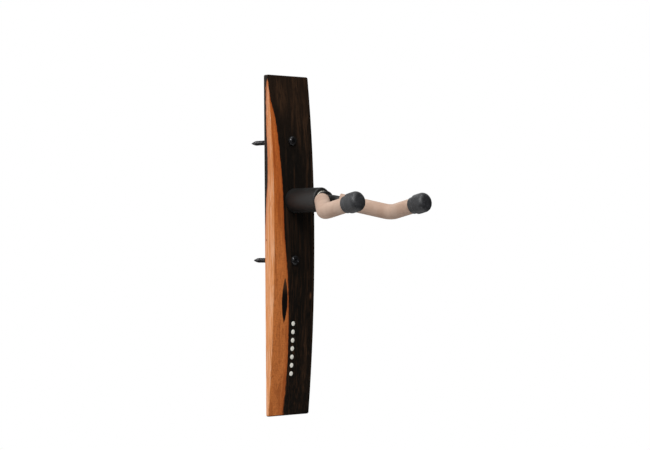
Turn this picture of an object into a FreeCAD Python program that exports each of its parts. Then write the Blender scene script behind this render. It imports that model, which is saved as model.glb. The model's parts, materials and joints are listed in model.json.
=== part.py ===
"""Wall hanger for a guitar: a crowned hardwood backplate, a metal barrel that stands out from it,
and a padded two-armed yoke that swivels in the barrel and carries the instrument by its headstock.

Frame, in millimetres: the origin is where the swivel axis meets the wall, +X is to the right of a
person who faces the hanger, +Y goes into the wall and +Z is up. Everything but the screw shanks
stands out from the wall towards -Y.
"""
import FreeCAD, Part
import Sketcher
import math
import os
from FreeCAD import Placement, Rotation, Vector

SIZES = [
    # backplate
    ("plate_width", 46.3, "backplate, side to side"),
    ("plate_drop", 180.0, "swivel axis down to the lower end"),
    ("plate_height", 285.0, "lower end to upper end"),
    ("crest_height", 159.0, "lower end to the thickest place"),
    ("crest_thickness", 11.2, "thickness at the crest"),
    ("top_thickness", 4.0, "thickness at the upper end"),
    ("bottom_thickness", 2.1, "thickness at the lower end"),
    ("arc_rise", 2.0, "first guess for how far an arc of the front bulges from its chord"),
    ("corner_radius", 1.6, "corners of the outline"),
    ("edge_radius", 0.45, "softened front edges"),
    # wall screws
    ("screw_spacing", 50.0, "swivel axis to either wall screw"),
    ("screw_radius", 2.1, "thread, over its crests"),
    ("screw_shank_radius", 1.8, "plain shank"),
    ("screw_thread_length", 36.8, "tip to the end of the thread"),
    ("screw_hole_radius", 2.4, "hole in the backplate"),
    ("screw_length", 50.8, "tip to the underside of the head"),
    ("screw_point", 5.0, "conical point"),
    ("screw_head_radius", 4.15, "domed head"),
    ("screw_head_height", 2.8, "domed head"),
    ("screw_head_round", 2.3, "rounding of the dome"),
    ("screw_seat_radius", 4.4, "spot face under the head"),
    ("upper_seat", 8.7, "wall to the upper spot face"),
    ("lower_seat", 10.6, "wall to the lower spot face"),
    ("recess_length", 4.6, "cross recess, tip to tip"),
    ("recess_width", 0.95, "cross recess, width of a slot"),
    ("recess_depth", 1.6, "cross recess"),
    # barrel and the two screws that hold it from behind
    ("barrel_radius", 10.15, "outside of the barrel"),
    ("barrel_seat", 9.8, "wall to the barrel's rear face"),
    ("barrel_web", 10.8, "solid rear of the barrel"),
    ("bore_depth", 25.0, "blind bore for the stud"),
    ("bore_radius", 5.05, "blind bore for the stud"),
    ("barrel_rear_round", 1.8, "rear edge"),
    ("barrel_front_round", 1.5, "front edge"),
    ("seat_radius", 10.25, "recess in the backplate under the barrel"),
    ("fixing_offset", 5.5, "swivel axis to either barrel screw"),
    ("fixing_radius", 2.0, "barrel screw, thread"),
    ("fixing_hole_radius", 2.05, "tapped hole in the barrel"),
    ("fixing_pass_radius", 2.2, "hole in the backplate"),
    ("fixing_head_radius", 3.8, "countersunk head"),
    ("fixing_head_depth", 2.2, "countersunk head"),
    ("fixing_length", 18.0, "head face to tip"),
    ("fixing_hole_depth", 9.0, "tapped hole in the barrel"),
    # friction screw under the barrel
    ("lock_reach", 33.0, "wall to the friction screw's axis"),
    ("lock_radius", 2.5, "friction screw, thread"),
    ("lock_hole_radius", 2.55, "tapped hole for the friction screw"),
    ("lock_outer", 9.8, "swivel axis to the screw's outer end"),
    ("lock_length", 3.8, "friction screw"),
    ("lock_socket_radius", 1.45, "hexagon socket, centre to corner"),
    ("lock_socket_depth", 2.0, "hexagon socket"),
    ("brake_radius", 2.1, "nylon pad under the friction screw"),
    ("brake_length", 1.95, "nylon pad"),
    # pivot stud and washer
    ("stud_radius", 5.0, "stud in the bore"),
    ("stud_gap", 0.5, "bore floor to the stud's end"),
    ("groove_start", 9.7, "stud's end to the groove"),
    ("groove_width", 4.4, "groove that the pad runs in"),
    ("groove_radius", 4.0, "floor of the groove"),
    ("neck_length", 11.25, "groove to the hub"),
    ("hub_radius", 6.75, "hub in front of the barrel"),
    ("hub_length", 5.05, "hub, as far as the rod's axis"),
    ("washer_thickness", 0.8, "nylon washer between barrel and hub"),
    ("washer_bore", 5.1, "nylon washer"),
    ("washer_radius", 7.2, "nylon washer"),
    # bent rod of the yoke, its padding and its caps
    ("rod_radius", 4.0, "bent steel rod"),
    ("rod_reach", 51.5, "wall to the rod where it crosses the hub"),
    ("knee_offset", 6.5, "swivel axis to the first bend"),
    ("knee_radius", 10.0, "first bend"),
    ("arm_offset", 37.9, "swivel axis to either arm"),
    ("elbow_reach", 87.5, "wall to the second bend"),
    ("elbow_drop", 11.2, "swivel axis down to the second bend"),
    ("elbow_radius", 12.0, "second bend"),
    ("tip_reach", 128.6, "wall to the tip of the cap"),
    ("tip_drop", 2.8, "swivel axis down to the tip of the cap"),
    ("rod_end_gap", 0.5, "rod's end to the floor of the cap's bore"),
    ("padding_radius", 6.3, "outside of the padding"),
    ("padding_bore", 4.05, "inside of the padding"),
    ("padding_start", 5.0, "first bend to the padding's inner end"),
    ("skirt_radius", 6.95, "cap, skirt behind the bulb"),
    ("skirt_length", 4.5, "cap, skirt"),
    ("bulb_radius", 8.15, "cap, bulb"),
    ("bulb_length", 12.0, "cap, bulb from the step to the tip"),
    ("bulb_round", 4.6, "cap, rounding of the bulb's end"),
    ("socket_radius", 6.35, "cap, socket for the padding"),
    ("socket_depth", 9.0, "cap, socket for the padding"),
    ("cap_bore", 4.1, "cap, bore for the rod"),
    ("cap_bore_depth", 4.0, "cap, bore beyond the socket's floor"),
    ("cap_step_round", 0.6, "cap, edge of the step"),
    # inlay
    ("inlay_depth", 1.2, "thickness of the inlay"),
    ("blank_length", 30.0, "blanks that the inlay is cut from"),
    ("inlay_drop", 124.0, "swivel axis down to the middle disc"),
    ("inlay_radius", 2.2, "discs of the inlay"),
    ("inlay_spacing", 7.0, "one disc of the row to the next"),
]

doc = FreeCAD.newDocument("guitar_hanger")
sheet = doc.addObject("Spreadsheet::Sheet", "sizes")
for row, (alias, value, meaning) in enumerate(SIZES, start=1):
    sheet.set("A%d" % row, meaning)
    sheet.set("B%d" % row, str(value))
    sheet.setAlias("B%d" % row, alias)
doc.recompute()

OUTWARD = Rotation(Vector(1, 0, 0), 90)      # a piece's own +Z turned to point away from the wall
SIDES = (("left", -1), ("right", 1))
LEVELS = (("upper", 1), ("lower", -1))
OVERCUT = 1.0        # how far a drill starts or ends outside the piece it cuts
SAME = 1e-3          # two lengths closer than this are the same
PARALLEL = 0.99      # least cosine between parallel directions


# ---------------------------------------------------------------- shared helpers

def size(*names):
    """Sum of named cells, in millimetres."""
    return sum(getattr(sheet, name) for name in names)


def formula(*names):
    """The same sum as an expression for setExpression."""
    return " + ".join("sizes." + name for name in names)


def bind(target, **cells):
    """Bind properties of an object to cells: bind(pad, Length="plate_width")."""
    for prop, names in cells.items():
        names = (names,) if isinstance(names, str) else names
        target.setExpression(prop, formula(*names))


def add(kind, label):
    """New document object with its label."""
    item = doc.addObject(kind, label)
    item.Label = label
    return item


def new_sketch(body, role):
    """Sketch on one of the body's own origin planes."""
    sketch = body.newObject("Sketcher::SketchObject", body.Name + "_sketch")
    plane = next(item for item in body.Origin.OriginFeatures if item.Role == role)
    sketch.AttachmentSupport = [(plane, "")]
    sketch.MapMode = "FlatFace"
    return sketch


def pin(sketch, edge, end, axis, names):
    """Hold one coordinate of a line's or arc's end at a sum of cells, or on the axis if there are none."""
    if not names:
        on_axis = -1 if axis == "Y" else -2
        sketch.addConstraint(Sketcher.Constraint("PointOnObject", edge, end, on_axis))
        return
    index = sketch.addConstraint(Sketcher.Constraint("Distance" + axis, -1, 1, edge, end, size(*names)))
    sketch.setExpression("Constraints[%d]" % index, formula(*names))


def join(sketch, count):
    """Join count edges end to start in a closed loop."""
    for edge in range(count):
        sketch.addConstraint(Sketcher.Constraint("Coincident", edge, 2, (edge + 1) % count, 1))


def polygon(sketch, corners):
    """Closed outline of straight lines; a corner is a pair of cell-name tuples (x, y)."""
    spots = [Vector(size(*x), size(*y), 0) for x, y in corners]
    for start, end in zip(spots, spots[1:] + spots[:1]):
        sketch.addGeometry(Part.LineSegment(start, end))
    join(sketch, len(spots))
    for edge, (x, y) in enumerate(corners):
        pin(sketch, edge, 1, "X", x)
        pin(sketch, edge, 1, "Y", y)


def feature(body, kind, name):
    """Next PartDesign feature of a body, made its tip."""
    item = body.newObject("PartDesign::" + kind, body.Name + "_" + name)
    body.Tip = item
    return item


def turned(label, corners):
    """Turned piece: a half outline of (radius, height) corners turned about the piece's own Z."""
    body = add("PartDesign::Body", label)
    sketch = new_sketch(body, "XZ_Plane")
    polygon(sketch, corners)
    turn = feature(body, "Revolution", "turn")
    turn.Profile = sketch
    turn.ReferenceAxis = (sketch, ["V_Axis"])
    turn.Angle = 360
    doc.recompute()
    return body


def round_edges(body, name, cell, wanted):
    """Fillet the edges of a body that wanted() accepts."""
    shape = body.Tip.Shape
    names = ["Edge%d" % (i + 1) for i, edge in enumerate(shape.Edges) if wanted(edge)]
    base = body.Tip
    fillet = feature(body, "Fillet", name)
    fillet.Base = (base, names)
    bind(fillet, Radius=cell)
    doc.recompute()


def ring_at(radius, height):
    """Test for a whole circle of this radius at this height on a turned piece."""
    def wanted(edge):
        curve = edge.Curve
        return (isinstance(curve, Part.Circle) and abs(curve.Radius - radius) < SAME
                and abs(curve.Center.z - height) < SAME)
    return wanted


def place(item, x=0.0, y=0.0, z=0.0, turn=Rotation()):
    """Put a finished piece in the hanger's frame."""
    item.Placement = Placement(Vector(x, y, z), turn)


def cylinder(label, radius_cell, length, x=0.0, y=0.0, z=0.0, turn=OUTWARD):
    """Drill-like cylinder that starts at a point and runs along turn's Z."""
    item = add("Part::Cylinder", label)
    bind(item, Radius=radius_cell)
    if isinstance(length, str):
        bind(item, Height=length)
    else:
        item.Height = length
    place(item, x, y, z, turn)
    return item


def combine(kind, label, items):
    """Boolean union or compound of several objects."""
    item = add(kind, label)
    if kind == "Part::MultiFuse":
        item.Shapes = items
    else:
        item.Links = items
    return item


def boolean(kind, label, base, tool):
    """Part::Cut or Part::Common of two objects."""
    item = add(kind, label)
    item.Base = base
    item.Tool = tool
    return item


# ---------------------------------------------------------------- backplate blank

def crowned_blank(label):
    """Plank with a flat back and a front crowned along its length by two tangent arcs.

    The side outline is drawn in the piece's own XZ plane: x is the thickness and z the height above
    the lower end. It is then turned so that the thickness points away from the wall.
    """
    body = add("PartDesign::Body", label)
    sketch = new_sketch(body, "XZ_Plane")
    height = size("plate_height")
    low = Vector(size("bottom_thickness"), 0, 0)
    top = Vector(size("top_thickness"), height, 0)
    crest = Vector(size("crest_thickness"), size("crest_height"), 0)

    def bulged(start, end):
        middle = (start + end) * 0.5 + Vector(size("arc_rise"), 0, 0)
        return Part.Arc(start, middle, end)

    sketch.addGeometry(Part.LineSegment(Vector(0, height, 0), Vector(0, 0, 0)))
    sketch.addGeometry(Part.LineSegment(Vector(0, 0, 0), low))
    sketch.addGeometry(bulged(low, crest))
    sketch.addGeometry(bulged(crest, top))
    sketch.addGeometry(Part.LineSegment(top, Vector(0, height, 0)))
    back, bottom, low_arc, high_arc, head = range(5)
    join(sketch, 5)
    pin(sketch, back, 2, "X", ())
    pin(sketch, back, 2, "Y", ())
    pin(sketch, back, 1, "X", ())
    pin(sketch, back, 1, "Y", ("plate_height",))
    pin(sketch, bottom, 2, "X", ("bottom_thickness",))
    pin(sketch, bottom, 2, "Y", ())
    pin(sketch, head, 1, "X", ("top_thickness",))
    pin(sketch, head, 1, "Y", ("plate_height",))
    pin(sketch, high_arc, 1, "X", ("crest_thickness",))
    pin(sketch, high_arc, 1, "Y", ("crest_height",))
    # both arcs have their centre level with the crest, so they are tangent there
    pin(sketch, low_arc, 3, "Y", ("crest_height",))
    pin(sketch, high_arc, 3, "Y", ("crest_height",))
    pad = feature(body, "Pad", "width")
    pad.Profile = sketch
    pad.Midplane = True
    bind(pad, Length="plate_width")
    doc.recompute()

    def corner(edge):
        if not isinstance(edge.Curve, Part.Line):
            return False
        return abs(edge.tangentAt(edge.FirstParameter).x) > PARALLEL
    round_edges(body, "corners", "corner_radius", corner)

    def front_edge(edge):
        faces = [face for face in body.Tip.Shape.Faces
                 if any(other.isSame(edge) for other in face.Edges)]
        crowned = [isinstance(face.Surface, Part.Cylinder) and abs(face.Surface.Axis.y) > PARALLEL
                   for face in faces]
        return any(crowned) and not all(crowned)
    round_edges(body, "edges", "edge_radius", front_edge)
    place(body, z=-size("plate_drop"), turn=Rotation(Vector(0, 0, 1), -90))
    return body


# ---------------------------------------------------------------- inlay

def inlay_blanks():
    """A plain upright row of seven equal discs, evenly spaced."""
    steps = [("inlay_middle", 0)]
    for level, sign in LEVELS:
        for count, rank in enumerate(("inner", "mid", "outer"), start=1):
            steps.append(("inlay_%s_%s" % (level, rank), sign * count))
    return {name: cylinder(name + "_blank", "inlay_radius", "blank_length",
                           z=step * size("inlay_spacing") - size("inlay_drop"))
            for name, step in steps}


def inlay(blank):
    """Pieces of the inlay, each cut from a thin layer under the crowned surface, so they lie flush."""
    below = crowned_blank("crown_below")
    below.setExpression("Placement.Base.y", "sizes.inlay_depth")
    layer = boolean("Part::Cut", "inlay_layer", blank, below)
    return [boolean("Part::Common", name, rod, layer) for name, rod in inlay_blanks().items()]


# ---------------------------------------------------------------- backplate

def backplate(blank, inlay_pieces):
    """The plank with its screw holes, the barrel's seat and the pockets that hold the inlay."""
    reach = size("plate_width")
    cutters = [cylinder("barrel_seat_cut", "seat_radius", reach, y=-size("barrel_seat"))]
    for level, sign in LEVELS:
        z = sign * size("screw_spacing")
        seat = size(level + "_seat")
        cutters.append(cylinder("screw_hole_" + level, "screw_hole_radius", reach, y=OVERCUT, z=z))
        cutters.append(cylinder("screw_seat_" + level, "screw_seat_radius", reach, y=-seat, z=z))
        z = sign * size("fixing_offset")
        cutters.append(cylinder("fixing_hole_" + level, "fixing_pass_radius", reach, y=OVERCUT, z=z))
        sink = add("Part::Cone", "countersink_" + level)
        bind(sink, Radius1="fixing_head_radius", Radius2="fixing_radius", Height="fixing_head_depth")
        place(sink, z=z, turn=OUTWARD)
        cutters.append(sink)
    holes = boolean("Part::Cut", "drilled_plank", blank, combine("Part::MultiFuse", "plank_cuts", cutters))
    pockets = combine("Part::Compound", "inlay_pockets", inlay_pieces)
    return boolean("Part::Cut", "backplate", holes, pockets)


# ---------------------------------------------------------------- wall screws

def wall_screw(level, sign):
    """Round-head wood screw: cross recess, plain shank in the plank, thread in the wall."""
    label = "wall_screw_" + level
    top = ("screw_length", "screw_head_height")
    body = turned(label + "_turned", [
        ((), ()),
        (("screw_radius",), ("screw_point",)),
        (("screw_radius",), ("screw_thread_length",)),
        (("screw_shank_radius",), ("screw_thread_length",)),
        (("screw_shank_radius",), ("screw_length",)),
        (("screw_head_radius",), ("screw_length",)),
        (("screw_head_radius",), top),
        ((), top),
    ])
    round_edges(body, "dome", "screw_head_round", ring_at(size("screw_head_radius"), size(*top)))
    slots = []
    for number, (x_cell, y_cell) in enumerate((("recess_length", "recess_width"),
                                               ("recess_width", "recess_length"))):
        slot = add("Part::Box", "%s_slot_%d" % (label, number))
        bind(slot, Length=x_cell, Width=y_cell, Height="recess_depth")
        place(slot, -size(x_cell) / 2, -size(y_cell) / 2, size(*top) - size("recess_depth"))
        slots.append(slot)
    recess = combine("Part::MultiFuse", label + "_recess", slots)
    screw = boolean("Part::Cut", label, body, recess)
    tip = size("screw_length") - size(level + "_seat")
    place(screw, y=tip, z=sign * size("screw_spacing"), turn=OUTWARD)
    return screw


# ---------------------------------------------------------------- barrel and what holds it

def barrel():
    """Standoff with a blind front bore, two tapped holes behind and a tapped hole underneath."""
    length = ("barrel_web", "bore_depth")
    body = turned("barrel_turned", [
        ((), ()),
        (("barrel_radius",), ()),
        (("barrel_radius",), length),
        (("bore_radius",), length),
        (("bore_radius",), ("barrel_web",)),
        ((), ("barrel_web",)),
    ])
    radius = size("barrel_radius")
    round_edges(body, "rear", "barrel_rear_round", ring_at(radius, 0))
    round_edges(body, "front", "barrel_front_round", ring_at(radius, size(*length)))
    place(body, y=-size("barrel_seat"), turn=OUTWARD)
    cuts = [cylinder("lock_hole", "lock_hole_radius", radius + OVERCUT, y=-size("lock_reach"),
                     turn=Rotation(Vector(1, 0, 0), 180))]
    for level, sign in LEVELS:
        cuts.append(cylinder("tapped_hole_" + level, "fixing_hole_radius", "fixing_hole_depth",
                             y=-size("barrel_seat"), z=sign * size("fixing_offset")))
    return boolean("Part::Cut", "barrel", body, combine("Part::MultiFuse", "barrel_cuts", cuts))


def barrel_screw(level, sign):
    """Countersunk machine screw that pulls the barrel onto the plank from behind."""
    screw = turned("barrel_screw_" + level, [
        ((), ()),
        (("fixing_head_radius",), ()),
        (("fixing_radius",), ("fixing_head_depth",)),
        (("fixing_radius",), ("fixing_length",)),
        ((), ("fixing_length",)),
    ])
    place(screw, z=sign * size("fixing_offset"), turn=OUTWARD)
    return screw


def friction_screw():
    """Headless screw with a hexagon socket, under the barrel; it presses the nylon pad."""
    thread = cylinder("friction_thread", "lock_radius", "lock_length", turn=Rotation())
    socket = add("Part::Prism", "friction_socket")
    socket.Polygon = 6
    bind(socket, Circumradius="lock_socket_radius", Height="lock_socket_depth")
    screw = boolean("Part::Cut", "friction_screw", thread, socket)
    place(screw, y=-size("lock_reach"), z=-size("lock_outer"))
    return screw


def friction_pad():
    """Nylon pad between the friction screw and the stud's groove."""
    return cylinder("friction_pad", "brake_radius", "brake_length", y=-size("lock_reach"),
                    z=-size("lock_outer") + size("lock_length"), turn=Rotation())


# ---------------------------------------------------------------- yoke

def pivot_stud(rod):
    """Grooved stud with a hub whose front is hollowed to take the rod that is welded into it."""
    groove_end = ("groove_start", "groove_width")
    shoulder = groove_end + ("neck_length",)
    front = shoulder + ("hub_length",)
    body = turned("pivot_stud_turned", [
        ((), ()),
        (("stud_radius",), ()),
        (("stud_radius",), ("groove_start",)),
        (("groove_radius",), ("groove_start",)),
        (("groove_radius",), groove_end),
        (("stud_radius",), groove_end),
        (("stud_radius",), shoulder),
        (("hub_radius",), shoulder),
        (("hub_radius",), front),
        ((), front),
    ])
    place(body, y=-size("barrel_seat", "barrel_web", "stud_gap"), turn=OUTWARD)
    return boolean("Part::Cut", "pivot_stud", body, rod)


def thrust_washer():
    """Nylon washer that turns with the hub and runs on the barrel's front face."""
    washer = turned("thrust_washer", [
        (("washer_bore",), ()),
        (("washer_radius",), ()),
        (("washer_radius",), ("washer_thickness",)),
        (("washer_bore",), ("washer_thickness",)),
    ])
    hub_back = size("rod_reach") - size("hub_length")
    place(washer, y=-hub_back + size("washer_thickness"), turn=OUTWARD)
    return washer


def corner_points(sign):
    """Knee, elbow and cap's tip of one arm."""
    knee = Vector(sign * size("knee_offset"), -size("rod_reach"), 0)
    elbow = Vector(sign * size("arm_offset"), -size("elbow_reach"), -size("elbow_drop"))
    tip = Vector(sign * size("arm_offset"), -size("tip_reach"), -size("tip_drop"))
    return knee, elbow, tip


def along(start, end, distance):
    """Point at a distance from start on the way to end."""
    return start + (end - start).normalize() * distance


def bent_path(label, points, radii):
    """Wire of straight runs joined by tangent arcs of the given radii."""
    edges = []
    here = points[0]
    for before, corner, after, radius in zip(points, points[1:], points[2:], radii):
        back = (before - corner).normalize()
        ahead = (after - corner).normalize()
        half = back.getAngle(ahead) / 2
        run = radius / math.tan(half)
        start, end = corner + back * run, corner + ahead * run
        middle = corner + (back + ahead).normalize() * (radius / math.sin(half) - radius)
        edges.append(Part.LineSegment(here, start).toShape())
        edges.append(Part.Arc(start, middle, end).toShape())
        here = end
    edges.append(Part.LineSegment(here, points[-1]).toShape())
    path = add("Part::Feature", label)
    path.Shape = Part.Wire(edges)
    return path


def swept(label, path, radius_cell):
    """Round bar along a path."""
    first = path.Shape.Edges[0]
    start = first.valueAt(first.FirstParameter)
    direction = first.tangentAt(first.FirstParameter)
    section = add("Part::Circle", label + "_section")
    bind(section, Radius=radius_cell)
    section.Placement = Placement(start, Rotation(Vector(0, 0, 1), direction))
    bar = add("Part::Sweep", label)
    bar.Sections = [section]
    bar.Spine = (path, ["Edge%d" % (i + 1) for i in range(len(path.Shape.Edges))])
    bar.Solid = True
    bar.Frenet = False
    return bar


def fork_rod():
    """One steel rod: it crosses the hub, bends down and out at each knee and forward at each elbow."""
    knee, elbow, tip = corner_points(1)
    cap_floor = size("skirt_length", "bulb_length") - size("socket_depth", "cap_bore_depth")
    points = [along(tip, elbow, cap_floor + size("rod_end_gap")), elbow, knee]
    mirrored = [Vector(-p.x, p.y, p.z) for p in reversed(points)]
    radii = [size("elbow_radius"), size("knee_radius")]
    path = bent_path("rod_path", points + mirrored, radii + radii[::-1])
    return swept("fork_rod", path, "rod_radius")


def padding(side, sign):
    """Soft tube over the limb and arm, from beside the hub to the floor of the cap's socket."""
    knee, elbow, tip = corner_points(sign)
    end = size("skirt_length", "bulb_length") - size("socket_depth")
    points = [along(knee, elbow, size("padding_start")), elbow, along(tip, elbow, end)]
    path = bent_path("padding_path_" + side, points, [size("elbow_radius")])
    outer = swept("padding_outer_" + side, path, "padding_radius")
    inner = swept("padding_inner_" + side, path, "padding_bore")
    return boolean("Part::Cut", "padding_" + side, outer, inner)


def end_cap(side, sign):
    """Moulded cap: a short skirt, a step up to the bulb, and a rounded end."""
    floor = ("socket_depth",)
    length = ("skirt_length", "bulb_length")
    cap = turned("end_cap_" + side, [
        (("socket_radius",), ()),
        (("skirt_radius",), ()),
        (("skirt_radius",), ("skirt_length",)),
        (("bulb_radius",), ("skirt_length",)),
        (("bulb_radius",), length),
        ((), length),
        ((), floor + ("cap_bore_depth",)),
        (("cap_bore",), floor + ("cap_bore_depth",)),
        (("cap_bore",), floor),
        (("socket_radius",), floor),
    ])
    bulb = size("bulb_radius")
    round_edges(cap, "end", "bulb_round", ring_at(bulb, size(*length)))
    round_edges(cap, "step", "cap_step_round", ring_at(bulb, size("skirt_length")))
    knee, elbow, tip = corner_points(sign)
    rise = math.degrees(math.atan2(tip.z - elbow.z, elbow.y - tip.y))
    mouth = along(tip, elbow, size(*length))
    cap.Placement = Placement(mouth, Rotation(Vector(1, 0, 0), 90 - rise))
    return cap


# ---------------------------------------------------------------- the whole hanger

def build():
    """Make every piece; returns the document objects that become nodes."""
    blank = crowned_blank("plank")
    pieces = inlay(blank)
    pieces.append(backplate(blank, list(pieces)))
    pieces.append(barrel())
    for level, sign in LEVELS:
        pieces.append(barrel_screw(level, sign))
        pieces.append(wall_screw(level, sign))
    pieces += [friction_screw(), friction_pad(), thrust_washer()]
    rod = fork_rod()
    pieces += [rod, pivot_stud(rod)]
    for side, sign in SIDES:
        pieces.append(padding(side, sign))
        pieces.append(end_cap(side, sign))
    return pieces


def check(pieces):
    """Stop if any object failed or any piece is not one valid solid."""
    for item in doc.Objects:
        if "Invalid" in item.State or "Error" in item.State:
            raise RuntimeError("%s failed: %s" % (item.Label, item.State))
    for piece in pieces:
        shape = piece.Shape
        if shape.isNull() or not shape.isValid() or len(shape.Solids) != 1:
            raise RuntimeError("%s has no single valid solid" % piece.Label)


pieces = build()
doc.recompute()
check(pieces)
os.makedirs("parts", exist_ok=True)
for piece in pieces:
    piece.Shape.exportStep("parts/%s.step" % piece.Label)
    print("%-22s %10.1f mm3" % (piece.Label, piece.Shape.Volume))
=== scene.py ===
"""Looks of the wall guitar hanger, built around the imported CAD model.

Lengths are millimetres in the model's own frame (+X right, +Y into the wall, +Z up) and are turned
into metres when a mesh or a position is made. The floor and the lights are placed in metres.
"""
import bmesh
import bpy
import json
import math
from mathutils import Matrix, Vector


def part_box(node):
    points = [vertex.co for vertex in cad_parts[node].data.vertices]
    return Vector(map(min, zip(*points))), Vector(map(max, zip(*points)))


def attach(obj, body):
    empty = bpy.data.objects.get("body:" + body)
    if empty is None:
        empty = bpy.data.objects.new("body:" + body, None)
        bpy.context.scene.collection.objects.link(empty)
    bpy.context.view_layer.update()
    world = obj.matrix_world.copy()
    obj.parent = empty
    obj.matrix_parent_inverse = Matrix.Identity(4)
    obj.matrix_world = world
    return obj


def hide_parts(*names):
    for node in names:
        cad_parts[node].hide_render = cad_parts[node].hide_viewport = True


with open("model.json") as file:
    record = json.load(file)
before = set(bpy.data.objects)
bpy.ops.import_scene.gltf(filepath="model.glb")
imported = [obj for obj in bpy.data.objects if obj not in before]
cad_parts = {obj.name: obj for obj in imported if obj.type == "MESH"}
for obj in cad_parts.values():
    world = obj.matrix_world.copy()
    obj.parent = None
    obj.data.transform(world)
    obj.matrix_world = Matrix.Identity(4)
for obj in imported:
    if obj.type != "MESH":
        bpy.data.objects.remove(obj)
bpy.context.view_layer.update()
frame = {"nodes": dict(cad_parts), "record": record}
NODES = frame["nodes"]
MM = 0.001
SIDES = (("left", -1), ("right", 1))


# ---------------------------------------------------------------- node graphs

class Graph:
    """A material's node tree, with short calls for the nodes that this script uses."""

    def __init__(self, name):
        self.material = bpy.data.materials.new(name)
        self.material.use_nodes = True
        self.tree = self.material.node_tree
        self.shader = self.tree.nodes["Principled BSDF"]
        place = self.tree.nodes.new("ShaderNodeTexCoord")
        self.metres = place.outputs["Object"]
        self.normal = place.outputs["Normal"]
        self.point = self.vector("SCALE", self.metres, scale=1.0 / MM)

    def feed(self, socket, value):
        """Link an output to a socket, or set the socket's own value."""
        if isinstance(value, bpy.types.NodeSocket):
            self.tree.links.new(value, socket)
        elif value is not None:
            socket.default_value = value

    def vector(self, operation, a, b=None, scale=None):
        node = self.tree.nodes.new("ShaderNodeVectorMath")
        node.operation = operation
        self.feed(node.inputs[0], a)
        self.feed(node.inputs[1], b)
        if scale is not None:
            node.inputs["Scale"].default_value = scale
        return node.outputs[0]

    def math(self, operation, a, b=None):
        node = self.tree.nodes.new("ShaderNodeMath")
        node.operation = operation
        self.feed(node.inputs[0], a)
        self.feed(node.inputs[1], b)
        return node.outputs[0]

    def plus(self, a, b):
        return self.math("ADD", a, b)

    def minus(self, a, b):
        return self.math("SUBTRACT", a, b)

    def times(self, a, b):
        return self.math("MULTIPLY", a, b)

    def axes(self, vector):
        node = self.tree.nodes.new("ShaderNodeSeparateXYZ")
        self.feed(node.inputs[0], vector)
        return node.outputs

    def combine(self, x, y, z):
        node = self.tree.nodes.new("ShaderNodeCombineXYZ")
        for socket, value in zip(node.inputs, (x, y, z)):
            self.feed(socket, value)
        return node.outputs[0]

    def stretched(self, x, y, z):
        """The point in millimetres with each axis multiplied."""
        return self.vector("MULTIPLY", self.point, (x, y, z))

    def noise(self, vector, scale, detail=2.0, roughness=0.5, distortion=0.0):
        node = self.tree.nodes.new("ShaderNodeTexNoise")
        self.feed(node.inputs["Vector"], vector)
        node.inputs["Scale"].default_value = scale
        node.inputs["Detail"].default_value = detail
        node.inputs["Roughness"].default_value = roughness
        node.inputs["Distortion"].default_value = distortion
        return node.outputs["Fac"]

    def ramp(self, factor, low, high):
        """0 below low, 1 above high, smooth between; low may be the larger."""
        node = self.tree.nodes.new("ShaderNodeMapRange")
        node.interpolation_type = "SMOOTHSTEP"
        self.feed(node.inputs["Value"], factor)
        self.feed(node.inputs["From Min"], low)
        self.feed(node.inputs["From Max"], high)
        return node.outputs["Result"]

    def spread(self, factor, low, high):
        """A 0 to 1 factor spread linearly over low to high."""
        node = self.tree.nodes.new("ShaderNodeMapRange")
        self.feed(node.inputs["Value"], factor)
        node.inputs["To Min"].default_value = low
        node.inputs["To Max"].default_value = high
        return node.outputs["Result"]

    def curve(self, factor, points):
        """A smooth curve through (input, output) points, all from 0 to 1."""
        node = self.tree.nodes.new("ShaderNodeFloatCurve")
        self.feed(node.inputs["Value"], factor)
        line = node.mapping.curves[0]
        for place in points[1:-1]:
            line.points.new(*place)
        line.points[0].location = points[0]
        line.points[-1].location = points[-1]
        node.mapping.update()
        return node.outputs[0]

    def mix(self, factor, a, b):
        """Colour that runs from a to b as the factor goes from 0 to 1."""
        node = self.tree.nodes.new("ShaderNodeMix")
        node.data_type = "RGBA"
        self.feed(node.inputs["Factor"], factor)
        self.feed(node.inputs[6], a)
        self.feed(node.inputs[7], b)
        return node.outputs[2]

    def bump(self, height, distance_mm, strength):
        node = self.tree.nodes.new("ShaderNodeBump")
        node.inputs["Strength"].default_value = strength
        node.inputs["Distance"].default_value = distance_mm * MM
        self.feed(node.inputs["Height"], height)
        return node.outputs[0]

    def finish(self, color, roughness, normal, **constants):
        """Wire the shader; constants are set on the shader's own sockets."""
        self.feed(self.shader.inputs["Base Color"], color)
        self.feed(self.shader.inputs["Roughness"], roughness)
        self.feed(self.shader.inputs["Normal"], normal)
        for name, value in constants.items():
            self.shader.inputs[name.replace("_", " ")].default_value = value
        return self.material


def srgb(red, green, blue):
    """Linear colour from 0 to 255 display values."""
    def linear(value):
        value /= 255.0
        return value / 12.92 if value <= 0.04045 else ((value + 0.055) / 1.055) ** 2.4
    return (linear(red), linear(green), linear(blue), 1.0)


EBONY, EBONY_STREAK = srgb(13, 10, 7), srgb(70, 48, 32)
EBONY_FINE, EBONY_TOP, BROWN_SPOT = srgb(58, 44, 33), srgb(44, 29, 18), srgb(110, 74, 48)
SAP_LIGHT, SAP_MIDDLE, SAP_DARK = srgb(202, 112, 50), srgb(182, 92, 38), srgb(132, 62, 24)
# the middle colour on the next line is painted light: the lighter tan that makes the left side face
# look lit
SAP_WARM, PAINTED_SIDE_LIGHT, SAP_THREAD = srgb(218, 132, 70), srgb(214, 156, 104), srgb(116, 56, 24)
# the first colour on the next line is painted sheen: pale streaks of reflected light on the left
# side face
PAINTED_SIDE_SHEEN, SAP_HALO, KNOT = srgb(232, 184, 150), srgb(156, 68, 26), srgb(84, 44, 22)


# ---------------------------------------------------------------- hardwood

PLATE_LOW, PLATE_HIGH = (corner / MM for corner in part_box("backplate"))
HALF_WIDTH = PLATE_HIGH.x
PLATE_HEIGHT = PLATE_HIGH.z - PLATE_LOW.z
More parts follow.
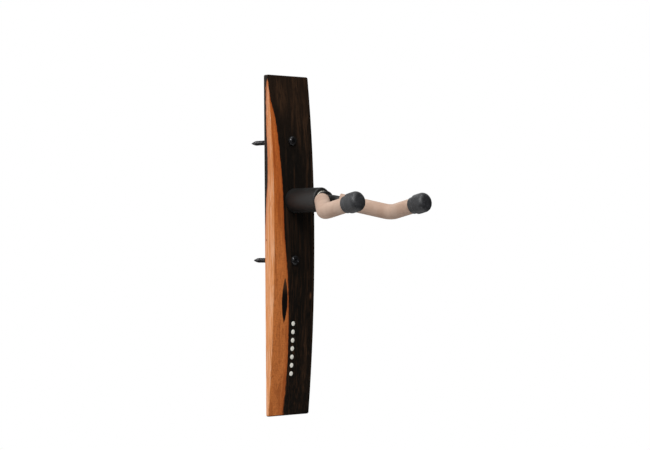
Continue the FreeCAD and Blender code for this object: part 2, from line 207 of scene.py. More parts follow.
# the crowned front: its crest's height, and the thickness there, at the bottom and at the top
CREST_Z, CREST, BOTTOM, TOP = -21.0, 11.2, 2.1, 4.0

# where the dark heartwood starts on the front face: (height, x)
HEART_FRONT = ((-180, -7), (-150, -5.5), (-125, -5), (-70, -7), (-30, -11), (15, -13), (55, -16),
               (70, -18), (85, -21.5), (100, -23), (105, -23.5))
# where it starts on the left edge, so that a dark strip runs along the wall: (height, y)
HEART_SIDE = ((-180, 1.5), (-60, 1.5), (-30, 0), (0, -2), (30, -4), (70, -2.5), (105, -4))
LEAST_STRIP = 0.3                        # the sapwood's cross-section never gets thinner than this
SIDE_RANGE = (-6.0, 2.0)

# marks in the figure: (centre, radii) of ellipsoids
WARM_PATCH = ((-10.0, -5.0, 87.0), (9.0, 8.0, 24.0))
SPOT_PLACE = ((19.0, -9.8, -80.0), (1.6, 3.0, 4.5))
KNOT_PLACE = ((-HALF_WIDTH, -1.6, -33.0), (2.0, 0.9, 1.5))
# the dark island in the sapwood: (x, height) of its centre, half width, half height, lean
ISLAND_CENTER, ISLAND_HALF_WIDTH, ISLAND_HALF_HEIGHT = (-10.4, -83.5), 3.4, 20.0
ISLAND_LEAN, ISLAND_LEAN_FROM = 0.012, -85.0


def front_depth(z):
    """Thickness of the plank at a height."""
    end, depth = (PLATE_LOW.z, BOTTOM) if z < CREST_Z else (PLATE_HIGH.z, TOP)
    return CREST - (CREST - depth) * ((z - CREST_Z) / (end - CREST_Z)) ** 2


def height_curve(g, z, points, low, high):
    """Value that follows (height, value) points along the plank."""
    up = g.math("DIVIDE", g.minus(z, PLATE_LOW.z), PLATE_HEIGHT)
    line = [((height - PLATE_LOW.z) / PLATE_HEIGHT, (value - low) / (high - low))
            for height, value in points]
    return g.spread(g.curve(up, line), low, high)


def front_y(g, z):
    """The front face's y at a height, as a node."""
    off = g.minus(z, CREST_Z)
    below = (CREST - BOTTOM) / (PLATE_LOW.z - CREST_Z) ** 2
    above = (CREST - TOP) / (PLATE_HIGH.z - CREST_Z) ** 2
    slope = g.spread(g.math("GREATER_THAN", off, 0.0), below, above)
    return g.minus(g.times(g.times(off, off), slope), CREST)


def heartwood_edge(g, x, y, z, front):
    """Signed distance in millimetres to the heartwood's boundary, positive inside the dark wood."""
    start = height_curve(g, z, HEART_FRONT, -HALF_WIDTH - 1, HALF_WIDTH)
    side = height_curve(g, z, HEART_SIDE, *SIDE_RANGE)
    depth = g.math("MAXIMUM", g.minus(side, front), LEAST_STRIP)
    width = g.math("MAXIMUM", g.plus(start, HALF_WIDTH), LEAST_STRIP)
    across = g.times(g.minus(x, start), depth)
    inward = g.times(g.minus(y, front), width)
    length = g.math("SQRT", g.plus(g.times(depth, depth), g.times(width, width)))
    return g.math("DIVIDE", g.plus(across, inward), length)


def blob(g, center, radii):
    """1 in the middle of an ellipsoid and 0 at its skin; center and radii in millimetres."""
    away = g.vector("DIVIDE", g.vector("SUBTRACT", g.point, center), radii)
    length = g.tree.nodes.new("ShaderNodeVectorMath")
    length.operation = "LENGTH"
    g.feed(length.inputs[0], away)
    return g.ramp(length.outputs["Value"], 1.0, 0.0)


def lens_shape(g, x, z, center, half_width, half_height):
    """Positive inside a tall lens with pointed ends."""
    along = g.math("DIVIDE", g.minus(z, center[1]), half_height)
    across = g.math("DIVIDE", g.math("ABSOLUTE", g.minus(x, center[0])), half_width)
    return g.minus(1.0, g.plus(across, g.times(along, along)))


def hardwood():
    """Ebony with a wide band of orange sapwood along the left edge, oiled to a satin."""
    g = Graph("hardwood")
    x, y, z = g.axes(g.point)
    front = front_y(g, z)
    wander = g.noise(g.combine(g.times(x, 0.5), y, z), 0.018, 2.0)
    grain_x = g.plus(x, g.times(g.minus(wander, 0.5), 5.0))

    def along(share, scale, detail=2.0, roughness=0.5, distortion=0.0):
        """Noise drawn out along the grain: share is how much of the height counts."""
        place = g.combine(grain_x, y, g.times(z, share))
        return g.noise(place, scale, detail, roughness, distortion)

    broad = along(0.03, 0.17, 2.0, 0.5, 0.4)
    narrow = along(0.03, 0.75, 3.0, 0.6)
    fine = along(0.05, 2.4, 4.0, 0.6)
    ragged = g.noise(g.combine(x, y, g.times(z, 0.2)), 1.2, 3.0)
    jag = g.minus(ragged, 0.5)

    # heartwood: near black with brown streaks of several widths
    streaks = g.times(g.ramp(broad, 0.45, 0.70), g.ramp(narrow, 0.38, 0.66))
    ebony = g.mix(g.times(streaks, 0.85), EBONY, EBONY_STREAK)
    ebony = g.mix(g.times(g.ramp(fine, 0.45, 0.75), 0.30), ebony, EBONY_FINE)
    lines = g.ramp(along(0.02, 1.5, 2.0, 0.5), 0.54, 0.64)
    lines = g.times(lines, g.ramp(z, 10.0, -50.0))
    ebony = g.mix(g.times(lines, 0.45), ebony, EBONY_STREAK)
    ebony = g.mix(g.times(g.ramp(z, 30.0, 100.0), 0.4), ebony, EBONY_TOP)
    warm = g.times(blob(g, *WARM_PATCH), g.ramp(narrow, 0.35, 0.6))
    ebony = g.mix(g.times(warm, 0.8), ebony, EBONY_STREAK)
    ebony = g.mix(g.times(blob(g, *SPOT_PLACE), 0.8), ebony, BROWN_SPOT)

    # sapwood: orange tan with long darker figure and a fine ripple across the grain
    bands = along(0.035, 0.30, 3.0, 0.55, 0.3)
    ripple = g.noise(g.combine(g.times(x, 0.35), y, z), 0.9, 3.0, 0.6, 0.6)
    sap = g.mix(g.ramp(bands, 0.35, 0.70), SAP_LIGHT, SAP_MIDDLE)
    sap = g.mix(g.times(g.ramp(z, 10.0, -60.0), 0.75), sap, SAP_WARM)
    sap = g.mix(g.times(g.ramp(fine, 0.46, 0.72), 0.60), sap, SAP_DARK)
    sap = g.mix(g.times(g.ramp(ripple, 0.45, 0.75), 0.30), sap, SAP_DARK)
    threads = along(0.02, 3.6, 3.0, 0.6)
    sap = g.mix(g.times(g.ramp(threads, 0.54, 0.66), 0.60), sap, SAP_THREAD)
    blotch = along(0.10, 0.22, 4.0, 0.65, 0.5)
    sap = g.mix(g.times(g.ramp(blotch, 0.50, 0.68), 0.40), sap, SAP_DARK)
    pale = along(0.02, 1.4, 3.0, 0.55)
    # painted light: the left side face and its edge are tinted a lighter tan, as if lit more
    # strongly from the left
    painted_side_light_mask = g.ramp(x, 1.2 - HALF_WIDTH, 0.2 - HALF_WIDTH)
    sap = g.mix(g.times(painted_side_light_mask, 0.40), sap, PAINTED_SIDE_LIGHT)
    # painted sheen: pale streaks along the grain on the left side face, standing in for reflected
    # light
    painted_sheen_streaks = g.times(g.ramp(pale, 0.48, 0.62), painted_side_light_mask)
    sap = g.mix(g.times(painted_sheen_streaks, 0.60), sap, PAINTED_SIDE_SHEEN)
    sap = g.mix(blob(g, *KNOT_PLACE), sap, KNOT)

    # where the two meet, the dark island in the sapwood, and painted shade along the foot
    edge = g.plus(heartwood_edge(g, x, y, z, front), jag)
    dark = g.ramp(edge, -0.25, 0.3)
    near_front = g.ramp(g.minus(y, front), 2.5, 1.0)
    lean = g.times(g.minus(z, ISLAND_LEAN_FROM), ISLAND_LEAN)
    island = lens_shape(g, g.minus(x, lean), z,
                        ISLAND_CENTER, ISLAND_HALF_WIDTH, ISLAND_HALF_HEIGHT)
    island = g.plus(island, g.times(jag, 0.22))
    island = g.times(g.ramp(island, 0.0, 0.14), near_front)
    halo = g.times(g.ramp(edge, -2.2, 0.1), 0.5)
    sap = g.mix(halo, sap, SAP_HALO)
    island_color = g.mix(g.ramp(z, -80.0, -68.0), EBONY, EBONY_STREAK)
    color = g.mix(island, g.mix(dark, sap, ebony), island_color)
    # painted shade: the foot of the plank darkens to black towards its bottom edge, where the
    # rounded lower edge falls into shadow
    painted_foot_shade = g.ramp(z, PLATE_LOW.z + 1.1, PLATE_LOW.z + 0.3)
    color = g.mix(g.times(painted_foot_shade, 0.85), color, EBONY)

    pores = along(0.07, 5.0, 2.0, 0.5)
    height = g.plus(g.times(g.ramp(pores, 0.60, 0.70), -1.0), g.times(fine, 0.4))
    normal = g.bump(height, 0.05, 0.5)
    return g.finish(color, g.spread(fine, 0.42, 0.58), normal, Specular_IOR_Level=0.14)


# ---------------------------------------------------------------- other materials

def inlay_pearl():
    """Pearly white inlay, polished flush."""
    g = Graph("inlay")
    cloud = g.noise(g.stretched(1.0, 1.0, 0.45), 0.55, 4.0, 0.6, 1.2)
    layers = g.noise(g.stretched(1.6, 1.0, 0.5), 1.9, 3.0, 0.6, 0.8)
    color = g.mix(g.ramp(cloud, 0.35, 0.68), srgb(252, 250, 240), srgb(238, 235, 224))
    color = g.mix(g.times(g.ramp(layers, 0.5, 0.72), 0.30), color, srgb(206, 203, 194))
    facing = g.math("ABSOLUTE", g.axes(g.normal)[1])
    color = g.mix(g.ramp(facing, 0.90, 0.70), color, srgb(16, 14, 12))   # the glue line
    return g.finish(color, g.spread(layers, 0.20, 0.34), g.bump(layers, 0.02, 0.4),
                    Coat_Weight=0.3, Coat_Roughness=0.12)


def black_metal():
    """Satin black coating on metal, with a faint orange peel and rubbed spots."""
    g = Graph("black_metal")
    peel = g.noise(g.point, 1.7, 2.0)
    speckle = g.noise(g.point, 6.0, 2.0)
    cloud = g.noise(g.point, 0.08, 2.0)
    color = g.mix(g.ramp(cloud, 0.35, 0.7), srgb(19, 18, 17), srgb(28, 27, 26))
    color = g.mix(g.times(g.ramp(speckle, 0.62, 0.75), 0.3), color, srgb(56, 55, 54))
    height = g.plus(peel, g.times(speckle, 0.3))
    return g.finish(color, g.spread(cloud, 0.46, 0.56), g.bump(height, 0.03, 0.35),
                    Specular_IOR_Level=0.40)


def screw_black():
    """Black oxide on steel, oily and a little glossy."""
    g = Graph("screw_black")
    cloud = g.noise(g.point, 0.9, 3.0)
    color = g.mix(g.ramp(cloud, 0.4, 0.7), srgb(30, 29, 30), srgb(52, 51, 53))
    return g.finish(color, g.spread(cloud, 0.14, 0.26), g.bump(cloud, 0.02, 0.3), Metallic=0.6)


def bright_steel():
    """Zinc-plated steel with fine turning marks."""
    g = Graph("bright_steel")
    marks = g.noise(g.stretched(0.2, 6.0, 0.2), 1.0, 3.0)
    color = g.mix(marks, srgb(150, 150, 152), srgb(196, 196, 198))
    return g.finish(color, g.spread(marks, 0.25, 0.4), g.bump(marks, 0.02, 0.3), Metallic=1.0)


def nylon():
    """Natural nylon, slightly milky."""
    g = Graph("nylon")
    cloud = g.noise(g.point, 0.6, 2.0)
    color = g.mix(cloud, srgb(214, 208, 192), srgb(228, 224, 212))
    return g.finish(color, g.spread(cloud, 0.42, 0.5), g.bump(cloud, 0.02, 0.3))


def padding_tube():
    """Soft matt tan tubing with a fine speckle and faint handling marks."""
    g = Graph("padding")
    cloud = g.noise(g.point, 0.10, 3.0, 0.55)
    speckle = g.noise(g.point, 3.0, 3.0, 0.6)
    color = g.mix(g.ramp(cloud, 0.3, 0.72), srgb(183, 158, 141), srgb(171, 143, 125))
    color = g.mix(g.times(g.ramp(speckle, 0.5, 0.8), 0.25), color, srgb(150, 122, 104))
    height = g.plus(speckle, g.times(g.noise(g.point, 0.5, 2.0), 0.8))
    return g.finish(color, g.spread(speckle, 0.62, 0.78), g.bump(height, 0.04, 0.35),
                    Specular_IOR_Level=0.3)


def cap_rubber():
    """Soft dark grey moulding, mottled, with a fine spark-eroded grain."""
    g = Graph("cap_rubber")
    grain = g.noise(g.point, 3.2, 3.0, 0.6)
    cloud = g.noise(g.point, 0.16, 2.0)
    mottle = g.noise(g.point, 0.75, 3.0, 0.6)
    color = g.mix(g.ramp(cloud, 0.35, 0.7), srgb(29, 30, 32), srgb(44, 45, 48))
    color = g.mix(g.times(g.ramp(mottle, 0.5, 0.72), 0.5), color, srgb(74, 75, 78))
    color = g.mix(g.times(g.ramp(grain, 0.6, 0.8), 0.25), color, srgb(74, 75, 77))
    height = g.plus(g.times(mottle, 1.6), grain)
    return g.finish(color, g.spread(mottle, 0.38, 0.54), g.bump(height, 0.09, 0.6),
                    Specular_IOR_Level=0.5)


MATERIALS = {
    "hardwood": hardwood(), "inlay": inlay_pearl(), "black_metal": black_metal(),
    "screw_black": screw_black(), "bright_steel": bright_steel(), "nylon": nylon(),
    "padding": padding_tube(), "cap_rubber": cap_rubber(),
}
SLOT_OF = {part["node"]: part["material_slot"] for part in frame["record"]["subparts"]}


def dress_cad_nodes():
    """Give each CAD node the material of its slot."""
    for name, node in NODES.items():
        for material_slot in node.material_slots:
            material_slot.material = MATERIALS[SLOT_OF[name]]


# ---------------------------------------------------------------- mesh helpers

BODIES = frame["record"]["behaviour"]["bodies"]
BODY_OF = {node: body for body, nodes in BODIES.items() for node in nodes}


def new_piece(name, mesh, node, sharp_degrees):
    """Finish a mesh as a piece that stands for a CAD node; edges past sharp_degrees stay sharp."""
    mesh.shade_smooth()
    mesh.set_sharp_from_angle(angle=math.radians(sharp_degrees))
    mesh.materials.append(MATERIALS[SLOT_OF[node]])
    piece = bpy.data.objects.new(name, mesh)
    bpy.context.scene.collection.objects.link(piece)
    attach(piece, BODY_OF[node])
    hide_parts(node)
    return piece


def grid_mesh(name, rings, closed_ends=()):
    """Mesh through rings of points in millimetres; each ring closes on itself.

    closed_ends names which ends get a fan to their middle: "start", "end" or both.
    """
    bm = bmesh.new()
    rows = [[bm.verts.new(point * MM) for point in ring] for ring in rings]
    count = len(rows[0])
    for low, high in zip(rows, rows[1:]):
        for i in range(count):
            j = (i + 1) % count
            bm.faces.new((low[i], low[j], high[j], high[i]))
    for end, row, flip in (("start", rows[0], True), ("end", rows[-1], False)):
        if end in closed_ends:
            middle = bm.verts.new(sum((v.co for v in row), Vector()) / count)
            for i in range(count):
                pair = (row[i], row[(i + 1) % count])
                bm.faces.new((*(pair[::-1] if flip else pair), middle))
    bmesh.ops.recalc_face_normals(bm, faces=bm.faces)
    mesh = bpy.data.meshes.new(name)
    bm.to_mesh(mesh)
    bm.free()
    return mesh


def fillet_line(points, steps=6):
    """Corners of an outline rounded off: a point is (radius, height) or (radius, height, round)."""
    out = []
    for index, point in enumerate(points):
        here = Vector(point[:2])
        if len(point) < 3 or index in (0, len(points) - 1):
            out.append(here)
            continue
        back = (Vector(points[index - 1][:2]) - here).normalized()
        ahead = (Vector(points[index + 1][:2]) - here).normalized()
        half = back.angle(ahead) / 2
        run = point[2] / math.tan(half)
        start, end = here + back * run, here + ahead * run
        centre = here + (back + ahead).normalized() * (point[2] / math.sin(half))
        for step in range(steps + 1):
            share = step / steps
            spoke = (start - centre).lerp(end - centre, share).normalized()
            out.append(centre + spoke * point[2])
    return out


def spokes(segments):
    """(share of a turn, cosine, sine) of each point round a circle."""
    angles = [2 * math.pi * i / segments for i in range(segments)]
    return [(i / segments, math.cos(angle), math.sin(angle)) for i, angle in enumerate(angles)]


def lathe_rings(outline, axis_start, turn, segments=64):
    """Rings of a (radius, height) outline turned about turn's Z from axis_start."""
    return [[axis_start + turn @ Vector((radius * cos, radius * sin, height))
             for _, cos, sin in spokes(segments)] for radius, height in outline]


def thread_ring(height, pitch, radius_at, segments):
    """One ring of a thread; radius_at takes a point's distance from the crest, in pitches."""
    ring = []
    for share, cos, sin in spokes(segments):
        radius = radius_at(abs((height / pitch - share) % 1.0 - 0.5))
        ring.append(Vector((radius * cos, radius * sin, height)))
    return ring


# ---------------------------------------------------------------- yoke: tubing and caps

# the fork's bends, as the CAD model has them
ROD_REACH, KNEE_OFFSET = 51.5, 6.5
ARM_OFFSET, ELBOW_REACH, ELBOW_DROP, ELBOW_RADIUS = 37.9, 87.5, 11.2, 12.0
TIP_REACH, TIP_DROP = 128.6, 2.8
TUBE_RADIUS, TUBE_BORE, TUBE_START = 6.3, 4.05, 5.0
CREASE_DEPTH, CREASE_RIPPLE, CREASE_FOLDS = 0.10, 0.09, 5
SKIRT_LENGTH, BULB_LENGTH, SOCKET_DEPTH = 4.5, 12.0, 9.0
SKIRT_RADIUS, BULB_RADIUS, BULB_ROUND, SOCKET_RADIUS = 6.95, 8.15, 4.6, 6.35


def arm_points(sign):
    """Knee, elbow and cap's tip of one arm."""
    knee = Vector((sign * KNEE_OFFSET, -ROD_REACH, 0))
    elbow = Vector((sign * ARM_OFFSET, -ELBOW_REACH, -ELBOW_DROP))
    tip = Vector((sign * ARM_OFFSET, -TIP_REACH, -TIP_DROP))
    return knee, elbow, tip


def tube_line(sign, spacing=0.6):
    """Centreline of the tubing: (point, direction, share of the bend) along limb, bend and arm."""
    knee, elbow, tip = arm_points(sign)
    back, ahead = (knee - elbow).normalized(), (tip - elbow).normalized()
    half = back.angle(ahead) / 2
    run = ELBOW_RADIUS / math.tan(half)
    centre = elbow + (back + ahead).normalized() * (ELBOW_RADIUS / math.sin(half))
    first = knee - back * TUBE_START
    bend_in, bend_out = elbow + back * run, elbow + ahead * run
    last = tip - ahead * (SKIRT_LENGTH + BULB_LENGTH - SOCKET_DEPTH)
    line = []
    for start, end, direction in ((first, bend_in, -back), (bend_out, last, ahead)):
        if direction is ahead:
            turn = math.pi - 2 * half
            steps = int(ELBOW_RADIUS * turn / spacing)
            for step in range(1, steps):
                share = step / steps
                from_centre = (bend_in - centre).normalized()
                spoke = from_centre.slerp((bend_out - centre).normalized(), share)
                forward = (-back).slerp(ahead, share)
                line.append((centre + spoke * ELBOW_RADIUS, forward, share))
        steps = int((end - start).length / spacing)
        line += [(start.lerp(end, step / steps), direction, None) for step in range(steps + 1)]
    return line, (centre - elbow).normalized()


def tubing(side, sign, segments=48):
    """Soft tube: cut square with softened rims, and creased inside the bend."""
    line, inward = tube_line(sign)
    up = Vector((0, 0, 1))

    def ring(point, direction, radius_at):
        across = direction.cross(up).normalized()
        above = across.cross(direction).normalized()
        ways = [across * cos + above * sin for _, cos, sin in spokes(segments)]
        return [point + way * radius_at(way) for way in ways]

    start, first_way, _ = line[0]
    end, last_way, _ = line[-1]
    rings = []
    for inset, radius in ((3.0, TUBE_BORE), (0.35, TUBE_BORE), (0.0, TUBE_BORE + 0.35),
                          (0.0, TUBE_RADIUS - 0.6), (0.12, TUBE_RADIUS - 0.25)):
        rings.append(ring(start + first_way * inset, first_way, lambda way, r=radius: r))
    for point, direction, share in line[1:]:
        bent = 0.0 if share is None else math.sin(math.pi * share)
        ripple = 0.0 if share is None else math.cos(share * CREASE_FOLDS * 2 * math.pi)
        crease = CREASE_DEPTH + CREASE_RIPPLE * ripple

        def radius_at(way, bent=bent, crease=crease):
            return TUBE_RADIUS - bent * max(0.0, way.dot(inward)) ** 3 * crease
        rings.append(ring(point, direction, radius_at))
    for inset in (0.0, 3.0):
        rings.append(ring(end - last_way * inset, last_way, lambda way: TUBE_BORE))
    mesh = grid_mesh("tubing_" + side, rings, ("start", "end"))
    piece = new_piece("tubing_" + side, mesh, "padding_" + side, 50.0)


def cap_outline():
    """Half outline of the end cap from inside its mouth, over the skirt and bulb, to the tip."""
    length = SKIRT_LENGTH + BULB_LENGTH
    crown = 0.8                         # the end is a little domed
    return fillet_line([
        (SOCKET_RADIUS, 3.0),
        (SOCKET_RADIUS, 0.0, 0.12),
        (SKIRT_RADIUS, 0.0, 0.30),
        (SKIRT_RADIUS - 0.15, SKIRT_LENGTH - 0.3, 0.30),
        (BULB_RADIUS - 0.05, SKIRT_LENGTH, 0.9),
        (BULB_RADIUS, SKIRT_LENGTH + 3.5),
        (BULB_RADIUS - 0.05, length - crown, BULB_ROUND),
        (1.8, length - 0.05, 4.0),
        (0.3, length),
    ], 9)


def end_cap(side, sign):
    """Moulded cap on the end of an arm."""
    _, elbow, tip = arm_points(sign)
    way = (tip - elbow).normalized()
    mouth = tip - way * (SKIRT_LENGTH + BULB_LENGTH)
    turn = way.to_track_quat("Z", "Y").to_matrix()
    mesh = grid_mesh("cap_" + side, lathe_rings(cap_outline(), mouth, turn), ("start", "end"))
    return new_piece("cap_" + side, mesh, "end_cap_" + side, 60.0)


# ---------------------------------------------------------------- wall screws

SCREW_LENGTH, HEAD_HEIGHT, HEAD_RADIUS, HEAD_ROUND = 50.8, 2.8, 4.15, 2.3
THREAD_RADIUS, SHANK_RADIUS, ROOT_RADIUS = 2.1, 1.8, 1.5
THREAD_PITCH, THREAD_LENGTH, POINT_LENGTH = 1.75, 36.8, 6.0
RECESS_LENGTH, RECESS_WIDTH, RECESS_DEPTH = 4.6, 0.95, 1.9
CREST_HALF_WIDTH, THREAD_RUN_OUT = 0.28, 2.0         # the first as a share of the pitch


def cross_cutter(top, long_half, depth):
    """Cross-shaped recess tool with tapering arms, its top a little above the given height."""
    bm = bmesh.new()
    for turn in (0.0, math.pi / 2):
        corners = []
        mouth = (top + 0.5, long_half + 0.25, RECESS_WIDTH / 2 + 0.06)
        floor = (top - depth, 0.75, RECESS_WIDTH / 2 - 0.12)
        for height, reach, half_width in (mouth, floor):
            for x, y in ((1, 1), (-1, 1), (-1, -1), (1, -1)):
                spot = Matrix.Rotation(turn, 3, "Z") @ Vector((x * reach, y * half_width, height))
                corners.append(bm.verts.new(spot * MM))
        upper, lower = corners[:4], corners[4:]
        bm.faces.new(upper)
        bm.faces.new(lower[::-1])
        for i in range(4):
            j = (i + 1) % 4
            bm.faces.new((upper[j], upper[i], lower[i], lower[j]))
    bmesh.ops.recalc_face_normals(bm, faces=bm.faces)
    mesh = bpy.data.meshes.new("recess_tool")
    bm.to_mesh(mesh)
    bm.free()
    return mesh


def with_recess(mesh, cutter, turn_degrees):
    """The mesh with the recess tool cut out of it."""
    body, tool = (bpy.data.objects.new("cut_" + item.name, item) for item in (mesh, cutter))
    for item in (body, tool):
        bpy.context.scene.collection.objects.link(item)
    tool.rotation_euler.z = math.radians(turn_degrees)
    cut = body.modifiers.new("recess", "BOOLEAN")
    cut.object = tool
    cut.solver = "EXACT"
    cut.use_self = True
    bpy.context.view_layer.update()
    graph = bpy.context.evaluated_depsgraph_get()
    result = bpy.data.meshes.new_from_object(body.evaluated_get(graph))
    for item in (body, tool):
        bpy.data.objects.remove(item)
    return result


def screw_rings(segments=32, spacing=0.16):
    """Rings of the screw from its point up: thread, smooth shank, head underside and dome."""
    rings = []
    steps = int(THREAD_LENGTH / spacing)
    for step in range(steps + 1):
        height = THREAD_LENGTH * step / steps
        fade_in = min(1.0, height / POINT_LENGTH)
        fade_out = min(1.0, (THREAD_LENGTH - height) / THREAD_RUN_OUT)
        root = ROOT_RADIUS * (0.05 + 0.95 * fade_in ** 0.7)

        def radius_at(off_crest, fade_in=fade_in, fade_out=fade_out, root=root):
            crest = max(0.0, 1.0 - off_crest / CREST_HALF_WIDTH)
            ridge = (THREAD_RADIUS - ROOT_RADIUS) * crest * fade_out * min(1.0, 0.25 + fade_in)
            return min(root + ridge, THREAD_RADIUS)
        rings.append(thread_ring(height, THREAD_PITCH, radius_at, segments))
    top = SCREW_LENGTH + HEAD_HEIGHT
    outline = fillet_line([
        (ROOT_RADIUS, THREAD_LENGTH + 0.2),
        (SHANK_RADIUS, THREAD_LENGTH + 1.2, 0.3),
        (SHANK_RADIUS, SCREW_LENGTH, 0.2),
        (HEAD_RADIUS, SCREW_LENGTH, 0.15),
        (HEAD_RADIUS, top, HEAD_ROUND),
        (0.6, top),
    ], 8)
    return rings + lathe_rings(outline, Vector(), Matrix.Identity(3), segments)


def wall_screw(level, turn_degrees):
    """Round-head wood screw with a real thread and a cross recess."""
    node = "wall_screw_" + level
    low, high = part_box(node)
    cutter = cross_cutter(SCREW_LENGTH + HEAD_HEIGHT, RECESS_LENGTH / 2, RECESS_DEPTH)
    mesh = with_recess(grid_mesh(node, screw_rings(), ("start", "end")), cutter, turn_degrees)
    middle = (low + high) / 2
    point = Matrix.Translation((middle.x, high.y, middle.z))
    mesh.transform(point @ Matrix.Rotation(math.pi / 2, 4, "X"))
    return new_piece(node.replace("wall_", "wood_"), mesh, node, 28.0)


FIXING_HEAD_RADIUS, FIXING_HEAD_DEPTH = 3.8, 2.2
FIXING_RADIUS, FIXING_LENGTH, FIXING_PITCH, FIXING_GROOVE = 2.0, 18.0, 0.7, 0.36
FIXING_RECESS_HALF, FIXING_RECESS_DEPTH = 1.9, 1.5


def barrel_screw(level, turn_degrees, segments=32, spacing=0.14):
    """Countersunk machine screw: flat head with a cross recess, and a fine thread."""
    node = "barrel_screw_" + level
    low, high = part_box(node)
    rings = []
    for step in range(int((FIXING_LENGTH - FIXING_HEAD_DEPTH - 0.6) / spacing) + 1):
        height = step * spacing

        def radius_at(off_crest, height=height):
            groove = FIXING_GROOVE * min(1.0, off_crest / 0.45)
            return FIXING_RADIUS - groove - max(0.0, 0.5 - height)
        rings.append(thread_ring(height, FIXING_PITCH, radius_at, segments))
    rings += lathe_rings(fillet_line([
        (FIXING_RADIUS - 0.3, FIXING_LENGTH - FIXING_HEAD_DEPTH - 0.4),
        (FIXING_RADIUS, FIXING_LENGTH - FIXING_HEAD_DEPTH, 0.3),
        (FIXING_HEAD_RADIUS, FIXING_LENGTH - 0.25, 0.1),
        (FIXING_HEAD_RADIUS, FIXING_LENGTH, 0.12),
        (0.5, FIXING_LENGTH),
    ], 4), Vector(), Matrix.Identity(3), segments)
    cutter = cross_cutter(FIXING_LENGTH, FIXING_RECESS_HALF, FIXING_RECESS_DEPTH)
    mesh = with_recess(grid_mesh(node, rings, ("start", "end")), cutter, turn_degrees)
    middle = (low + high) / 2
    point = Matrix.Translation((middle.x, low.y, middle.z))
    mesh.transform(point @ Matrix.Rotation(-math.pi / 2, 4, "X"))
    return new_piece(node.replace("barrel_", "fixing_"), mesh, node, 28.0)


# ---------------------------------------------------------------- inlay

INLAY_DISCS = [node for node in SLOT_OF if node.startswith("inlay_")]
GLUE_LINE, GLUE_DROP, DOME, INLAY_THICK = 0.24, 0.30, 0.22, 1.1
DISC_GAP = 0.01                          # between a disc and its pocket


def disc(node, segments=56):
    """Slightly domed pearl disc that follows the crown, with a dark glue line round it."""
    low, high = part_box(node)
    middle, radius = (low + high) / 2 / MM, (high.x - low.x) / 2 / MM - DISC_GAP
    outline = [(radius, -INLAY_THICK), (radius, -GLUE_DROP), (radius - GLUE_LINE, 0.0),
               (radius * 0.75, DOME * 0.45), (radius * 0.4, DOME * 0.85), (0.05, DOME)]
    rings = []
    for reach, lift in outline:
        ring = []
        for _, cos, sin in spokes(segments):
            x, z = middle.x + reach * cos, middle.z + reach * sin
            ring.append(Vector((x, -front_depth(z) - lift, z)))
        rings.append(ring)
    mesh = grid_mesh(node, rings, ("start", "end"))
    return new_piece(node.replace("inlay_", "pearl_"), mesh, node, 30.0)


# ---------------------------------------------------------------- stage, light and camera

FLOOR_Z, FLOOR_SIZE = -0.70, 1.4
BRIGHT_WAY = (-0.48, 0.66, 0.58)          # the surroundings are brightest in this direction
WORLD_DIM, WORLD_BRIGHT = 0.06, 1.12
FLOOR_DARK, FLOOR_PALE, FLOOR_ROUGHNESS = (0.72, 0.72, 0.72, 1), (0.76, 0.76, 0.76, 1), 0.9
# soft boxes: name, place in metres, size in metres, watts
LIGHTS = (("key", (-0.75, -0.85, 0.80), 0.4, 10.5),
          ("fill", (-0.5, -1.6, 0.45), 0.8, 3.1),
          ("top", (-0.1, -0.5, 1.2), 0.5, 3.5))
LIGHT_TARGET = (0.0, -0.06, -0.02)


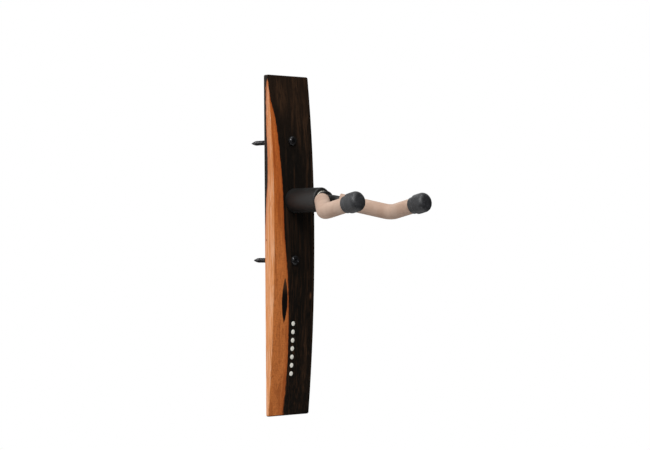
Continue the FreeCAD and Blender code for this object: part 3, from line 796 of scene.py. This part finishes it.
def studio():
    """Pale floor, surroundings that dim towards the front right, and soft lights."""
    bm = bmesh.new()
    bmesh.ops.create_grid(bm, x_segments=4, y_segments=4, size=FLOOR_SIZE / 2)
    mesh = bpy.data.meshes.new("floor")
    bm.to_mesh(mesh)
    bm.free()
    floor = bpy.data.objects.new("floor", mesh)
    floor.location.z = FLOOR_Z
    bpy.context.scene.collection.objects.link(floor)
    g = Graph("floor")
    tone = g.noise(g.metres, 3.0, 2.0)
    mesh.materials.append(g.finish(g.mix(tone, FLOOR_DARK, FLOOR_PALE), FLOOR_ROUGHNESS, None))

    world = bpy.data.worlds.new("studio")
    bpy.context.scene.world = world
    world.use_nodes = True
    tree = world.node_tree
    background = tree.nodes["Background"]
    coordinates = tree.nodes.new("ShaderNodeTexCoord")
    towards = tree.nodes.new("ShaderNodeVectorMath")
    towards.operation = "DOT_PRODUCT"
    towards.inputs[1].default_value = Vector(BRIGHT_WAY).normalized()
    tree.links.new(coordinates.outputs["Generated"], towards.inputs[0])
    strength = tree.nodes.new("ShaderNodeMapRange")
    strength.interpolation_type = "SMOOTHSTEP"
    strength.inputs["From Min"].default_value = -0.2
    strength.inputs["From Max"].default_value = 0.7
    strength.inputs["To Min"].default_value = WORLD_DIM
    strength.inputs["To Max"].default_value = WORLD_BRIGHT
    tree.links.new(towards.outputs["Value"], strength.inputs["Value"])
    path = tree.nodes.new("ShaderNodeLightPath")
    shown = tree.nodes.new("ShaderNodeMix")
    tree.links.new(path.outputs["Is Camera Ray"], shown.inputs["Factor"])
    tree.links.new(strength.outputs["Result"], shown.inputs[2])
    shown.inputs[3].default_value = 1.0
    tree.links.new(shown.outputs[0], background.inputs["Strength"])
    background.inputs["Color"].default_value = (1.0, 1.0, 1.0, 1.0)

    for name, location, size, power in LIGHTS:
        add_light(name, location, size, power)


def add_light(name, location, size, power):
    """Square soft box that faces the hanger."""
    data = bpy.data.lights.new(name, "AREA")
    data.size = size
    data.energy = power
    light = bpy.data.objects.new(name, data)
    bpy.context.scene.collection.objects.link(light)
    light.location = location
    way = Vector(LIGHT_TARGET) - light.location
    light.rotation_euler = way.to_track_quat("-Z", "Y").to_euler()


CAMERA_PLACE = (-1136.55, -1241.77, -41.6)
CAMERA_AZIMUTH, CAMERA_PITCH, CAMERA_ROLL = -43.6, 0.716, -0.44
CAMERA_LENS, CAMERA_SENSOR = 110.8, 36.0


def camera():
    """Long lens from the front left, about level with the hanger."""
    data = bpy.data.cameras.new("camera")
    data.lens = CAMERA_LENS
    data.sensor_width = CAMERA_SENSOR
    data.clip_start, data.clip_end = 0.05, 50.0
    item = bpy.data.objects.new("camera", data)
    bpy.context.scene.collection.objects.link(item)
    item.location = Vector(CAMERA_PLACE) * MM
    aim = Matrix.Rotation(math.radians(CAMERA_AZIMUTH), 3, "Z")
    aim = aim @ Matrix.Rotation(math.radians(90 + CAMERA_PITCH), 3, "X")
    aim = aim @ Matrix.Rotation(math.radians(CAMERA_ROLL), 3, "Z")
    item.rotation_euler = aim.to_euler()
    bpy.context.scene.camera = item
    bpy.context.scene.view_settings.view_transform = "Standard"


# ---------------------------------------------------------------- the whole picture

camera()
studio()
dress_cad_nodes()
for side, sign in SIDES:
    tubing(side, sign)
    end_cap(side, sign)
for node in INLAY_DISCS:
    disc(node)
for level, wall_turn, fixing_turn in (("upper", 25.0, 10.0), ("lower", 70.0, 52.0)):
    wall_screw(level, wall_turn)
    barrel_screw(level, fixing_turn)
